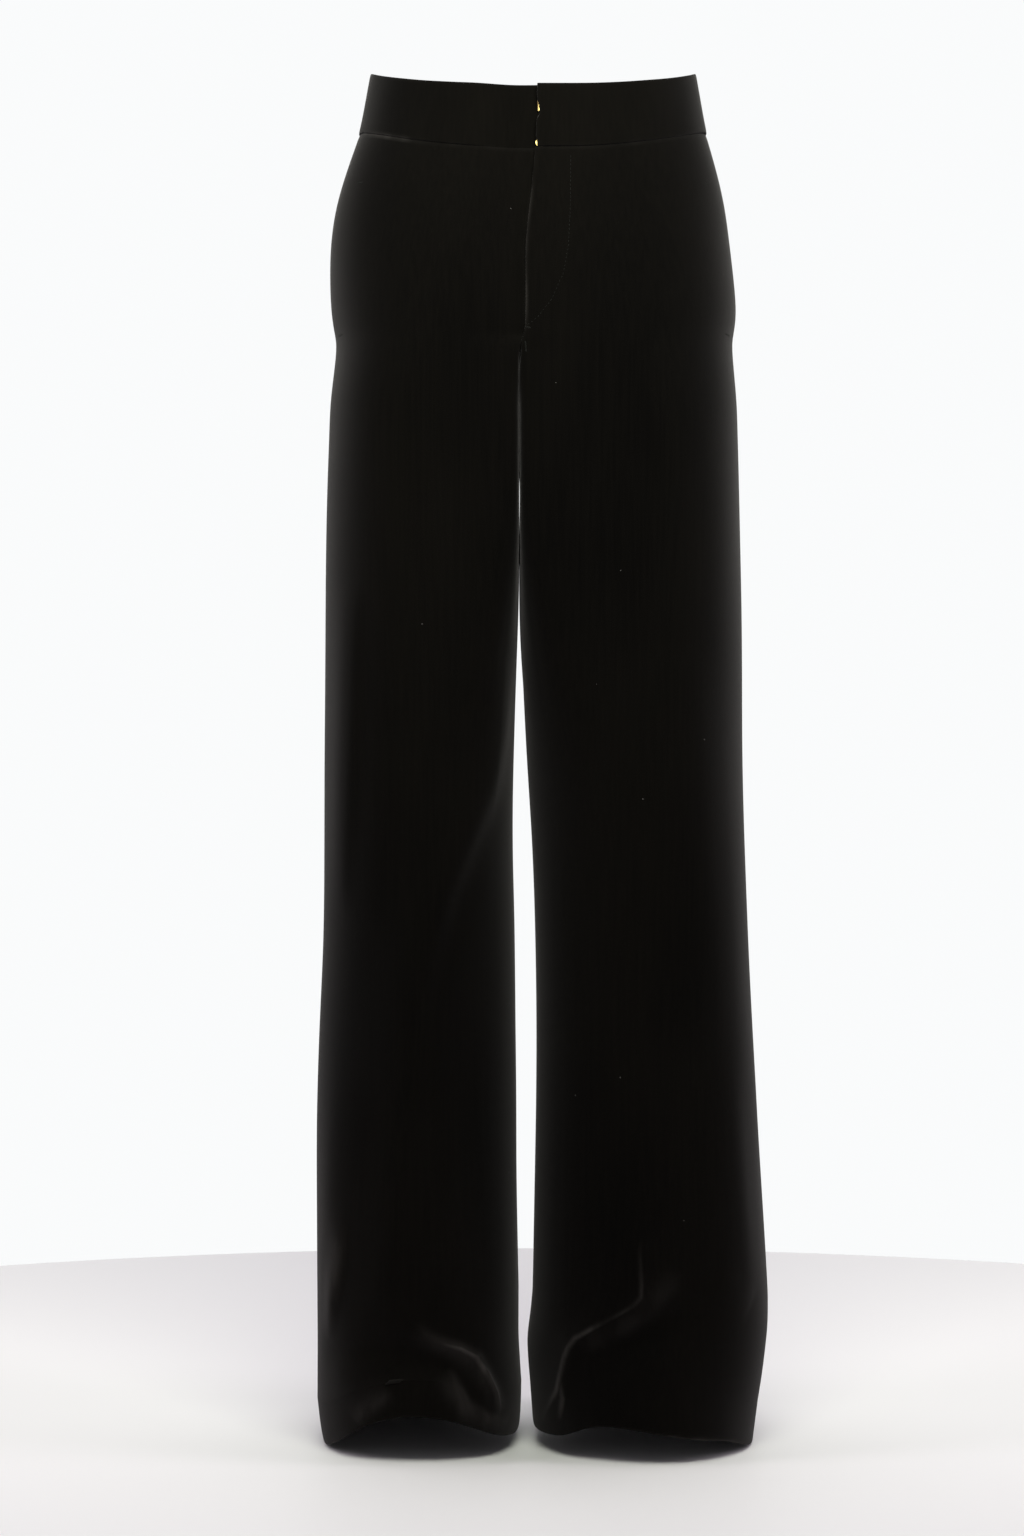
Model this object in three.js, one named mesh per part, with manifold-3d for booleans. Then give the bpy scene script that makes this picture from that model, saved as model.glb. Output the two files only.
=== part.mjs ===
// Palazzo pants in black velvet, in the shape they take when worn: four leg panels, a shaped
// waistband in three pieces, a zip fly with a hook and bar, and two side-seam pockets.
// Millimetres, +Z up, the front towards -Y, the wearer's left towards +X. The origin is the middle
// of the waistband's ring. "Height" below is the height at the side seams: the waist dips in front.
import * as THREE from "three";
import { mergeVertices } from "three/addons/utils/BufferGeometryUtils.js";
import Module from "manifold-3d";

// ---- Driving dimensions ----
const BAND_TOP = 25;
const BAND_SEAM = -25; // where the waistband is sewn to the panels
const FRONT_DIP = 27; // how far the waist drops at the centre front
const BACK_RISE = 8; // how far it climbs at the centre back
const TILT_POWER = { top: 1.2, seam: 1.8 }; // 1 would make the edge straight when seen from a side
const FORK_TOP = -205; // where the centre seams turn in between the legs
const CROTCH = -265; // where the four panels meet
const LEGS_ROUND = -620; // from here down each leg is a free, round tube
const BREAK_TOP = -930; // above this the lifted hem no longer disturbs the leg
const HEM = -1064;
const HEM_DEPTH = 36; // the turned-up part of the hem

const CLOTH = 1.6; // velvet, as a wall
const BAND = 3; // two layers of velvet and their stiffening
const SEAM_GAP = 0.3;
const INNER_CORNER = 9; // how tightly a leg turns the corner at the top of its inner side
const FRONT_POINTS = 40; // steps of a section's outline, from the side seam to the crown
const CORNER_POINTS = 24; // and round the leg's inner corner
const CROWN_SHIFT = [-60, -300]; // heights over which the fullest place moves to each leg's middle
const LEG_ROUNDNESS = { across: 0.97, along: 0.94 }; // share of the leg that its inner corner takes
const FRONT_LIFT = 17; // the front of each hem clears the floor by this much
const HEM_REACH = [30, 110]; // and the lift fades in between these depths
const INSIDE_REACH = 70; // the inside leg's lift fades out over this much width

// Side seams: height, wearer's right side, wearer's left side.
const SIDE_SEAMS = [
  [25, -130, 129.5],
  [-25, -139.5, 138],
  [-50, -148, 145],
  [-68, -153.5, 149],
  [-116, -160.5, 155.5],
  [-164, -160, 160],
  [-196, -157.5, 158.5],
  [-244, -162, 162],
  [-396, -166, 166],
  [-572, -167.5, 167.5],
  [-700, -168.5, 173],
  [-796, -173, 178],
  [-956, -172.5, 187.5],
  [-992, -172.5, 185],
  [-1036, -172.5, 178.5],
  [-1070, -167, 174],
];
// Inside leg seams: height, right leg, left leg. The thighs touch down to -400.
const INSEAMS = [
  [-265, -11.65, -11.35],
  [-300, -12, -11],
  [-396, -12.2, -10.8],
  [-476, -15, -7.5],
  [-572, -17, -2],
  [-636, -15.5, 0.5],
  [-764, -14, 2.5],
  [-860, -13, 1],
  [-956, -12.5, -1],
  [-992, -12.5, -4.5],
  [-1036, -10, -2],
  [-1070, -11.5, 0.5],
];
// Centre front and back line: height, sideways place. The worn waist is turned a little.
const CENTRE_LINE = [
  [25, 2],
  [-25, 0.5],
  [-62, -2.5],
  [-104, -6.5],
  [-185, -7.5],
  [-212, -11.5],
  [-265, -11.5],
];
// Depth: height, centre to front, centre to back, squareness of the outer quarter.
const DEPTHS = [
  [25, 92, 98, 2.15],
  [-25, 96, 104, 2.2],
  [-68, 104, 118, 2.3],
  [-116, 111, 129, 2.35],
  [-200, 115, 132, 2.35],
  [-265, 115, 127, 2.3],
  [-400, 110, 117, 2.2],
  [-600, 102, 110, 2.15],
  [-800, 100, 110, 2.1],
  [-956, 107, 113, 2.1],
  [-1070, 116, 118, 2.1],
];

// The front hem is lifted again over each instep: [sideways place, reach outwards, reach inwards,
// height].
const LEGS = {
  right: { sign: -1, column: 1, instep: [-92, 83, 88, 21], innerLift: 10 },
  left: { sign: 1, column: 2, instep: [55, 90, 50, 12], innerLift: 12 },
};
const FRONT = -1;
const BACK = 1;

// Fly, at the centre front. Distances across it are counted from its edge, the wearer's left
// positive. Levels are counted outwards from the body of the cloth.
const FLY_FOOT = -183; // lowest height where the left front laps over the right
const FLY_LIFT = 1.2; // the left front rides over the right
const FLY_SINK = 2.5; // and the right front passes below it
const FLY_RAMP = [16, 50]; // where the step starts and ends, going outwards
const UNDERLAP = 1.5; // how far the right front runs below the left
const BAND_LIFT = 1.6;
const BAND_SINK = 4.4;
const BAND_PROUD = 0.4;
const BAND_UNDERLAP = 28;
const FACING_WIDTH = 32;
const FACING_FOOT_WIDTH = 8;
const FACING_CURVE = 50; // height over which its outer edge curves in
const FACING_INSET = 0.8; // from the fly's edge
const FACING_TOP = -28;
const FACING_LEVELS = [-3, -2]; // counted from the lifted left front
const TAPE_LEVELS = [-5.3, -4.5];
const RIGHT_TAPE = [-9, 4.7];
const LEFT_TAPE = [5.3, 19];
const ZIP_TOP = -33;
const ZIP_FOOT = -181;

// Grid of a panel. Its face columns run from the side seam to the edge that turns in between the
// legs, which above the fork is the centre seam itself. Below the fork more columns cover the
// inner side of the leg. Each row: height on the face, height at the inside leg seam, and how far
// the row still follows the curve of the crotch seam.
const FACE_COLUMNS = [0, 0.11, 0.22, 0.33, 0.44, 0.55, 0.66, 0.77, 0.87, 0.95, 1];
const INNER_COLUMNS = [0.1, 0.28, 0.52, 0.76, 1];
const EDGE = FACE_COLUMNS.length - 1;
const LAST = EDGE + INNER_COLUMNS.length;
const PANEL_ROWS = [
  ...[...steps(BAND_SEAM, -165, 5), FLY_FOOT, FLY_FOOT - 10].map((height) => [height]),
  [FORK_TOP, CROTCH, 1],
  [-222, -281, 0.8],
  [-242, -298, 0.6],
  [-265, -316, 0.4],
  [-290, -335, 0.2],
  [-320, -357, 0.1],
  [-355, -384, 0],
  [-400, -420, 0],
  [-455, -468, 0],
  [-520, -527, 0],
  ...[-595, -670, -755, -845, BREAK_TOP].map((height) => [height, height, 0]),
  ...steps(-952, HEM + HEM_DEPTH, 4).map((height) => [height, height, 0]),
  ...[HEM + HEM_DEPTH - 4, HEM + 14, HEM].map((height) => [height, height, 0]),
];
const FORK_ROW = PANEL_ROWS.findIndex(([height]) => height === FORK_TOP);
const BAND_ROWS = steps(BAND_TOP, BAND_SEAM + SEAM_GAP, 4);

// Pockets hang behind the fronts. Rows and columns are those of the front panel.
const POCKET_ROWS = [1, 3, 5, 7, 8, 10];
const POCKET_COLUMNS = [0, 2, 4, 6];
const POCKET_SEAM = 0.3; // share of the outermost cells that the bag's seam takes
const POCKET_LEVELS = [-6.2, -2.4];
const POCKET_HOLLOW = [-5, -3.6];
const POCKET_MOUTH = [-66, -192]; // heights of the slit in the side seam
const MOUTH_PROUD = 1.4; // the front edge of the slit stands away from the back panel

// The largest folds, as lines on the front or back: [sideways place, height] points.
// Heights of a fold are outwards when positive. width is half of what it covers.
const FOLDS = [
  {
    leg: "right",
    face: FRONT,
    height: 5,
    width: 24,
    line: [
      [-26, -555], [-65, -631], [-84, -708], [-92, -800],
      [-92, -884], [-72, -940], [-45, -975], [-24, -1015],
    ],
  },
  { leg: "right", face: FRONT, height: 4, width: 15, line: [[-152, -800], [-154, -860], [-157, -985]] },
  {
    leg: "right",
    face: FRONT,
    height: -6,
    width: 12,
    line: [[-150, -985], [-105, -978], [-70, -984], [-48, -1020]],
  },
  { leg: "right", face: FRONT, height: 3, width: 16, line: [[-120, -1010], [-95, -1000], [-70, -1010]] },
  {
    leg: "left",
    face: FRONT,
    height: 3.5,
    width: 16,
    line: [[85, -860], [84, -930], [40, -972], [24, -1020]],
  },
  { leg: "left", face: FRONT, height: -3.5, width: 16, line: [[45, -992], [90, -962], [130, -950]] },
  { leg: "left", face: FRONT, height: 4, width: 22, line: [[150, -560], [150, -760], [160, -1000]] },
  { leg: "right", face: BACK, height: -4, width: 20, line: [[-28, -300], [-80, -330], [-140, -315]] },
  { leg: "left", face: BACK, height: -4, width: 20, line: [[8, -300], [80, -332], [138, -318]] },
  { leg: "right", face: BACK, height: 5, width: 24, line: [[-60, -330], [-70, -600], [-62, -1000]] },
  { leg: "left", face: BACK, height: 5, width: 24, line: [[80, -330], [76, -600], [68, -1000]] },
  { leg: "right", face: BACK, height: -4, width: 20, line: [[-110, -620], [-118, -820], [-122, -1060]] },
  { leg: "left", face: BACK, height: -4, width: 20, line: [[112, -600], [124, -820], [130, -1060]] },
  { leg: "left", face: BACK, height: 4, width: 18, line: [[30, -820], [22, -950], [26, -1060]] },
  { leg: "right", face: BACK, height: 4, width: 18, line: [[-30, -840], [-26, -950], [-30, -1060]] },
];

// ---- Small helpers ----
function steps(from, to, count) {
  return Array.from({ length: count + 1 }, (_, i) => from + ((to - from) * i) / count);
}

function ease(start, end, value) {
  const share = THREE.MathUtils.clamp((value - start) / (end - start), 0, 1);
  return share * share * (3 - 2 * share);
}

// A smooth curve through the stations of a table, read at one height.
function at(stations, height, column) {
  const last = stations.length - 1;
  if (height >= stations[0][0]) return stations[0][column];
  if (height <= stations[last][0]) return stations[last][column];
  let i = 0;
  while (stations[i + 1][0] > height) i += 1;
  const slope = (k) => {
    const before = stations[Math.max(k - 1, 0)];
    const after = stations[Math.min(k + 1, last)];
    return (after[column] - before[column]) / (after[0] - before[0]);
  };
  const span = stations[i + 1][0] - stations[i][0];
  const t = (height - stations[i][0]) / span;
  const start = (1 + 2 * t) * (1 - t) ** 2 * stations[i][column];
  const end = t * t * (3 - 2 * t) * stations[i + 1][column];
  const leave = t * (1 - t) ** 2 * slope(i) * span;
  const arrive = t * t * (t - 1) * slope(i + 1) * span;
  return start + end + leave + arrive;
}

// ---- Sections of the body ----
// One horizontal stretch of cloth in plan, from the side seam inwards: to the centre seam above
// the fork, and round the leg's inner edge to the inside leg seam below it. edge is the place in
// the list of that inner edge.
function section(leg, face, height) {
  const depth = at(DEPTHS, height, face === FRONT ? 1 : 2);
  const power = 2 / at(DEPTHS, height, 3);
  const side = at(SIDE_SEAMS, height, leg.column);
  const centre = at(CENTRE_LINE, height, 1) + (leg.sign * SEAM_GAP) / 2;
  const inner = height > CROTCH ? centre : at(INSEAMS, height, leg.column);
  const crown = THREE.MathUtils.lerp(centre, (side + inner) / 2, ease(...CROWN_SHIFT, height));
  const points = steps(0, Math.PI / 2, FRONT_POINTS).map((a) => [
    crown + (side - crown) * Math.max(Math.cos(a), 0) ** power,
    face * depth * Math.sin(a) ** power,
  ]);
  if (height >= FORK_TOP) {
    points.push([centre, face * depth]);
    return { points, edge: points.length - 1 };
  }
  const inwards = depth * (1 - Math.sqrt(1 - crotchTurn(height) ** 2));
  const tight = Math.min(INNER_CORNER, 0.8 * inwards);
  const open = ease(CROTCH - 40, LEGS_ROUND, height);
  const across = THREE.MathUtils.lerp(tight, LEG_ROUNDNESS.across * Math.abs(inner - crown), open);
  const along = THREE.MathUtils.lerp(tight, LEG_ROUNDNESS.along * depth, open);
  steps(0, Math.PI / 2, CORNER_POINTS).forEach((a) => {
    const x = inner + leg.sign * across * (1 - Math.sin(a));
    points.push([x, face * (depth - along * (1 - Math.cos(a)))]);
  });
  const edge = points.length - 1 - CORNER_POINTS / 2;
  points.push([inner, 0]);
  return { points, edge };
}

// The crotch seam is a half ellipse from front to back: 0 where it leaves the centre seam, 1 at
// the crotch.
function crotchTurn(height) {
  return THREE.MathUtils.clamp((FORK_TOP - height) / (FORK_TOP - CROTCH), 0, 1);
}

// Its height, by the share of the way from the leg's inner edge to the inside leg seam.
function crotchHeight(share) {
  return FORK_TOP + (CROTCH - FORK_TOP) * Math.sqrt(1 - (1 - share) ** 2);
}

function lengths(points) {
  const run = [0];
  for (let i = 1; i < points.length; i += 1) {
    const [[x, y], [lastX, lastY]] = [points[i], points[i - 1]];
    run.push(run[i - 1] + Math.hypot(x - lastX, y - lastY));
  }
  return run;
}

// The point a given distance along a chain of points. Past either end it carries straight on.
function alongChain(points, run, distance) {
  let i = 1;
  while (i < points.length - 1 && (run[i] < distance || run[i] === run[i - 1])) i += 1;
  const share = (distance - run[i - 1]) / (run[i] - run[i - 1]);
  return [0, 1].map((k) => points[i - 1][k] + (points[i][k] - points[i - 1][k]) * share);
}

// The hem's lift over the instep and at the inside leg, as a height to add.
function hemLift(leg, face, height, x, y) {
  const fade = ease(BREAK_TOP, HEM, height);
  const [middle, outwards, inwards, lift] = leg.instep;
  const reach = (x - middle) * leg.sign > 0 ? outwards : inwards;
  const share = Math.min(Math.abs(x - middle) / reach, 1);
  const front = face === FRONT ? ease(...HEM_REACH, -y) : 0;
  const inside = ease(INSIDE_REACH, 0, Math.abs(x - at(INSEAMS, height, leg.column)));
  const overInstep = front * (FRONT_LIFT + lift * Math.cos((share * Math.PI) / 2) ** 2);
  const atInside = (1 - front) * leg.innerLift * inside;
  return fade * (overInstep + atInside);
}

// A point in plan becomes a point in space: the waist dips in front and climbs behind.
function lifted(leg, face, height, [x, y]) {
  const depth = at(DEPTHS, height, face === FRONT ? 1 : 2);
  const aboveSeam = ease(BAND_SEAM, BAND_TOP, height);
  const power = THREE.MathUtils.lerp(TILT_POWER.seam, TILT_POWER.top, aboveSeam);
  const tilt = (face === FRONT ? -FRONT_DIP : BACK_RISE) * Math.abs(y / depth) ** power;
  const z = height + tilt * ease(CROTCH, BAND_SEAM, height);
  return new THREE.Vector3(x, y, z + hemLift(leg, face, height, x, y));
}

// ---- Folds ----
function foldShare({ line, width }, x, z) {
  let best = Infinity;
  let place = 0;
  const run = lengths(line);
  for (let i = 1; i < line.length; i += 1) {
    const [ax, az] = line[i - 1];
    const [bx, bz] = line[i];
    const span = (bx - ax) ** 2 + (bz - az) ** 2;
    const t = THREE.MathUtils.clamp(((x - ax) * (bx - ax) + (z - az) * (bz - az)) / span, 0, 1);
    const away = Math.hypot(x - ax - t * (bx - ax), z - az - t * (bz - az));
    if (away < best) {
      best = away;
      place = (run[i - 1] + t * (run[i] - run[i - 1])) / run[run.length - 1];
    }
  }
  const runOut = Math.sin(Math.PI * THREE.MathUtils.clamp(place, 0.06, 0.94)) ** 0.6;
  return Math.exp(-((best / width) ** 2)) * runOut;
}

function folded(legName, face, point) {
  const here = FOLDS.filter((fold) => fold.leg === legName && fold.face === face);
  return here.reduce((sum, fold) => sum + fold.height * foldShare(fold, point.x, point.z), 0);
}

// ---- Grids of points, and walls made from them ----
// Outward normals of a grid of points, whose lower rows may be longer. flip is -1 where the grid
// runs the other way round.
function normalsOf(grid, flip) {
  return grid.map((row, r) =>
    row.map((point, c) => {
      const above = grid[r - 1]?.[c] ?? point;
      const below = grid[r + 1]?.[c] ?? point;
      const across = (row[c + 1] ?? point).clone().sub(row[c - 1] ?? point);
      return across.cross(above.clone().sub(below)).multiplyScalar(flip).normalize();
    }),
  );
}

function moved(grid, normals, distance) {
  return grid.map((row, r) =>
    row.map((point, c) => {
      const by = typeof distance === "function" ? distance(point, r, c) : distance;
      return point.clone().addScaledVector(normals[r][c], by);
    }),
  );
}

// A closed wall between an outer and an inner grid of the same shape. Both faces of a cell are
// split along the same diagonal, so the wall is as thick everywhere. Every edge that only one
// cell uses is an edge of the cloth, and gets its own face across the wall's thickness.
function wall(outer, inner, flip) {
  const count = outer.flat().length;
  const starts = outer.map((_, r) => outer.slice(0, r).flat().length);
  const positions = [...outer.flat(), ...inner.flat()].flatMap((p) => [p.x, p.y, p.z]);
  const index = [];
  const quad = (a, b, c, d) => index.push(...(flip > 0 ? [a, b, c, a, c, d] : [a, c, b, a, d, c]));
  const edges = new Set();
  for (let r = 0; r < outer.length - 1; r += 1) {
    for (let c = 0; c < Math.min(outer[r].length, outer[r + 1].length) - 1; c += 1) {
      const cell = [starts[r] + c, starts[r + 1] + c, starts[r + 1] + c + 1, starts[r] + c + 1];
      quad(...cell);
      quad(...[0, 3, 2, 1].map((i) => cell[i] + count));
      cell.forEach((from, i) => edges.add(from + ">" + cell[(i + 1) % 4]));
    }
  }
  edges.forEach((edge) => {
    const [from, to] = edge.split(">").map(Number);
    if (!edges.has(to + ">" + from)) quad(to, from, from + count, to + count);
  });
  const geometry = new THREE.BufferGeometry();
  geometry.setAttribute("position", new THREE.Float32BufferAttribute(positions, 3));
  geometry.setIndex(index);
  return geometry;
}

// ---- Leg panels ----
const flipOf = (leg, face) => leg.sign * face;

// How far a point of a front stands out or in because of the fly, by its distance from the edge.
function flyStep(leg, distance, height, lift, sink) {
  const near = 1 - ease(FLY_RAMP[0], FLY_RAMP[1], distance);
  const above = ease(FORK_TOP, FLY_FOOT - 10, height);
  return near * above * (leg.sign > 0 ? lift : -sink);
}

// The bare points of a panel, row by row. Above the fork a row stops at the centre seam.
function panelPoints(leg, face) {
  return PANEL_ROWS.map(([height, innerHeight, fan], r) => {
    const { points, edge } = section(leg, face, height);
    const run = lengths(points);
    const laps = face === FRONT && leg.sign < 0 && height >= FLY_FOOT;
    const faceEnd = run[edge] + (laps ? UNDERLAP : 0);
    const line = FACE_COLUMNS.map((share) => {
      const distance = THREE.MathUtils.lerp(SEAM_GAP / 2, faceEnd, share);
      return lifted(leg, face, height, alongChain(points, run, distance));
    });
    if (r < FORK_ROW) return line;
    INNER_COLUMNS.forEach((share) => {
      const dip = crotchHeight(share) - THREE.MathUtils.lerp(FORK_TOP, CROTCH, share);
      const low = THREE.MathUtils.lerp(height, innerHeight, share) + dip * fan;
      const lowSection = section(leg, face, low);
      const lowRun = lengths(lowSection.points);
      const end = lowRun.at(-1) - SEAM_GAP / 2;
      const distance = THREE.MathUtils.lerp(lowRun[lowSection.edge], end, share);
      line.push(lifted(leg, face, low, alongChain(lowSection.points, lowRun, distance)));
    });
    return line;
  });
}

function panelGrid(legName, face) {
  const leg = LEGS[legName];
  const base = panelPoints(leg, face);
  const normals = normalsOf(base, flipOf(leg, face));
  // At a seam both neighbours take the same direction, so their walls meet edge to edge.
  normals.forEach((line, r) => {
    line[0].setY(0).normalize();
    if (r < FORK_ROW) line[EDGE].setX(0).normalize();
    else line[LAST].setY(0).normalize();
    if (r === FORK_ROW && line[EDGE].x * leg.sign > 0) line[EDGE].setX(0).normalize();
  });
  const outer = moved(base, normals, (point, r, c) => {
    const [height] = PANEL_ROWS[r];
    const fromEdge = Math.abs(point.x - base[r][EDGE].x);
    const fly = face === FRONT ? flyStep(leg, fromEdge, height, FLY_LIFT, FLY_SINK) : 0;
    const mouth = face === FRONT && c < 2 ? (MOUTH_PROUD * mouthShare(height)) / (c + 1) : 0;
    const clearOfSeam = Math.min(c, LAST - c, 2) / 2;
    return fly + mouth + folded(legName, face, point) * clearOfSeam;
  });
  return { outer, normals, flip: flipOf(leg, face) };
}

// 1 along the pocket's slit, running out to 0 at its ends.
function mouthShare(height) {
  const [top, foot] = POCKET_MOUTH;
  return ease(foot, foot + 20, height) * ease(top, top - 20, height);
}

function panel(legName, face) {
  const { outer, normals, flip } = panelGrid(legName, face);
  const layers = (r) => (PANEL_ROWS[r][0] < HEM + HEM_DEPTH ? 2 : 1);
  return wall(outer, moved(outer, normals, (_, r) => -CLOTH * layers(r)), flip);
}

// ---- Waistband ----
// The band follows the body's sections. "over" is the front end that laps over, "under" is the
// one that runs on below it, and "round" goes from side seam to side seam behind.
function bandPiece(parts, columns, face, end) {
  const grid = BAND_ROWS.map((height) => {
    const stretches = parts.map(([legName, reversed]) => {
      const { points } = section(LEGS[legName], face, height);
      return reversed ? points.reverse() : points;
    });
    const chain = stretches.flat();
    const run = lengths(chain);
    const ends = {
      over: run.at(-1),
      under: lengths(stretches[0]).at(-1) + BAND_UNDERLAP,
      round: run.at(-1) - SEAM_GAP / 2,
    };
    return steps(SEAM_GAP / 2, ends[end], columns).map((distance) =>
      lifted(LEGS.left, face, height, alongChain(chain, run, distance)),
    );
  });
  const flip = flipOf(end === "over" ? LEGS.left : LEGS.right, face);
  const normals = normalsOf(grid, flip);
  normals.forEach((line) => {
    line[0].setY(0).normalize();
    if (end === "round") line.at(-1).setY(0).normalize();
  });
  const outer = moved(grid, normals, (point, r) => {
    const centre = at(CENTRE_LINE, BAND_ROWS[r], 1);
    const near = 1 - ease(FLY_RAMP[0], FLY_RAMP[1], Math.abs(point.x - centre));
    if (end === "over") return BAND_PROUD + BAND_LIFT * near;
    if (end === "under") return BAND_PROUD - BAND_SINK * (point.x > centre ? 1 : near);
    return BAND_PROUD;
  });
  return wall(outer, moved(outer, normals, -BAND), flip);
}

// ---- Fly ----
// A point of the bare front, by its height and its distance from the fly's edge.
function frontPoint(height, distance) {
  const leg = distance < 0 ? LEGS.right : LEGS.left;
  const chain = section(leg, FRONT, height).points.reverse();
  return lifted(leg, FRONT, height, alongChain(chain, lengths(chain), Math.abs(distance)));
}

// A strip that follows the front between two distances from the fly's edge, given for each row.
function strip(heights, reach, columns, levels, lift) {
  const grid = heights.map((height, r) => {
    const [from, to] = typeof reach === "function" ? reach(height, r) : reach;
    return steps(from, to, columns).map((d) => frontPoint(height, d));
  });
  const normals = normalsOf(grid, 1);
  const step = (level) => (point, r) => {
    const edge = at(CENTRE_LINE, heights[r], 1);
    const fly = flyStep(LEGS.left, Math.abs(point.x - edge), heights[r], FLY_LIFT, 0);
    return level + (lift ? fly : 0);
  };
  const [inner, outer] = levels.map((level) => moved(grid, normals, step(level)));
  return wall(outer, inner, 1);
}

function facing() {
  const heights = steps(FACING_TOP, ZIP_FOOT, 9);
  const curve = (height) => {
    const share = THREE.MathUtils.clamp((height - ZIP_FOOT) / FACING_CURVE, 0, 1);
    const wide = FACING_FOOT_WIDTH + (FACING_WIDTH - FACING_FOOT_WIDTH) * Math.sqrt(1 - (1 - share) ** 2);
    return [FACING_INSET, wide];
  };
  return strip(heights, curve, 4, FACING_LEVELS, true);
}

// ---- Joining and cutting ----
const wasm = await Module();
wasm.setup();

function solid(geometry) {
  const bare = new THREE.BufferGeometry();
  const flat = geometry.index ? geometry.toNonIndexed() : geometry;
  bare.setAttribute("position", flat.getAttribute("position"));
  const merged = mergeVertices(bare, 1e-4);
  const triVerts = new Uint32Array(merged.index.array);
  const vertProperties = merged.getAttribute("position").array;
  return new wasm.Manifold(new wasm.Mesh({ numProp: 3, vertProperties, triVerts }));
}

function geometryOf(made) {
  const { vertProperties, triVerts } = made.getMesh();
  const geometry = new THREE.BufferGeometry();
  geometry.setAttribute("position", new THREE.BufferAttribute(vertProperties, 3));
  geometry.setIndex(new THREE.BufferAttribute(triVerts, 1));
  return geometry;
}

// A pocket bag lies flat behind its front panel: two layers joined all round but for the mouth.
function pocketBag(legName) {
  const { outer, normals, flip } = panelGrid(legName, FRONT);
  const pick = (grid) => POCKET_ROWS.map((r) => POCKET_COLUMNS.map((c) => grid[r][c].clone()));
  const bag = pick(outer);
  const directions = pick(normals);
  const layers = ([inner, outer]) =>
    wall(moved(bag, directions, outer), moved(bag, directions, inner), flip);
  const body = solid(layers(POCKET_LEVELS));
  // The hollow stops short of the bag's edges, and runs out through its mouth.
  const [top, foot, last] = [0, bag.length - 1, POCKET_COLUMNS.length - 1];
  bag[top].forEach((point, c) => point.lerp(bag[top + 1][c], POCKET_SEAM));
  bag[foot].forEach((point, c) => point.lerp(bag[foot - 1][c], POCKET_SEAM));
  bag.forEach((line) => line[last].lerp(line[last - 1], POCKET_SEAM));
  bag.forEach((line) => line[0].lerp(line[1], -POCKET_SEAM));
  return geometryOf(body.subtract(solid(layers(POCKET_HOLLOW))));
}

// ---- Metal pieces ----
// They are drawn in a frame that lies on the cloth: x to the wearer's left, y inwards, z up.
function frontFrame(height, distance) {
  const origin = frontPoint(height, distance);
  const left = frontPoint(height, distance + 3).sub(frontPoint(height, distance - 3)).normalize();
  const up = frontPoint(height + 3, distance).sub(frontPoint(height - 3, distance)).normalize();
  const inwards = up.clone().cross(left).normalize();
  const top = left.clone().cross(inwards);
  const group = new THREE.Group();
  group.position.copy(origin);
  group.quaternion.setFromRotationMatrix(new THREE.Matrix4().makeBasis(left, inwards, top));
  return group;
}

const HOOK_PLACE = [8, 6.2]; // height, and distance from the fly's edge
const HOOK_HEIGHT = 8.5;
const HOOK_LEVELS = { plate: -1.6, tongue: -3.4 };
const HOOK_WALL = 0.6;
const HOOK_REACH = { plate: 5.6, tongue: 1.6, bend: -4.3 };
const BAR_LEVELS = { bar: [-2.8, -2.2], foot: [-3.7, -3.1] };
const BAR_WIDTH = 2.2;
const BAR_PLACE = -3.6; // from the middle of the hook
const BAR_HALF = { foot: 8.2, outer: 5.6, inner: 4.8 };
const SLIDER_PLACE = [-34, 5];
const SLIDER_WIDTH = 6;
const SLIDER_ENDS = [-6, 5.5];
const SLIDER_LEVELS = [-6.8, -2.6];
const TAPE_SLOT = [-5.6, -4.2]; // the tapes run into it
const TAPE_SLOT_END = 1;
const TAB = { foot: 2, left: 1.5, right: -1.4, top: 11, wall: 1.1, level: 3 };
const TAB_HEAD = { x: -0.9, z: 13.4, radius: 3.1, from: -0.5, to: Math.PI + 0.9, foot: 10.6 };
const CURVE_STEPS = 8;

// Turns a drawing so that it stands on edge: its own x points up and its depth to the left.
const ON_EDGE = new THREE.Matrix4().makeBasis(
  new THREE.Vector3(0, 0, 1),
  new THREE.Vector3(0, -1, 0),
  new THREE.Vector3(1, 0, 0),
);
// Turns a drawing so that it lies on the cloth, its depth outwards.
const FLAT_ON_CLOTH = new THREE.Matrix4().makeBasis(
  new THREE.Vector3(1, 0, 0),
  new THREE.Vector3(0, 0, 1),
  new THREE.Vector3(0, -1, 0),
);

function drawn(outline) {
  return new THREE.Shape(outline.map(([u, v]) => new THREE.Vector2(u, v)));
}

function extruded(shape, depth) {
  return new THREE.ExtrudeGeometry(shape, { depth, bevelEnabled: false, curveSegments: CURVE_STEPS });
}

// A strip bent back on itself, seen from above: the plate, the bend and the tongue.
function hookGeometry() {
  const middle = (HOOK_LEVELS.plate + HOOK_LEVELS.tongue) / 2;
  const radius = (HOOK_LEVELS.plate - HOOK_LEVELS.tongue) / 2;
  const half = HOOK_WALL / 2;
  const shape = new THREE.Shape();
  shape.moveTo(HOOK_REACH.plate, HOOK_LEVELS.plate + half);
  shape.lineTo(HOOK_REACH.bend, HOOK_LEVELS.plate + half);
  shape.absarc(HOOK_REACH.bend, middle, radius + half, Math.PI / 2, 1.5 * Math.PI, false);
  shape.lineTo(HOOK_REACH.tongue, HOOK_LEVELS.tongue - half);
  shape.lineTo(HOOK_REACH.tongue, HOOK_LEVELS.tongue + half);
  shape.absarc(HOOK_REACH.bend, middle, radius - half, 1.5 * Math.PI, Math.PI / 2, true);
  shape.lineTo(HOOK_REACH.plate, HOOK_LEVELS.plate - half);
  return extruded(shape, HOOK_HEIGHT);
}

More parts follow.
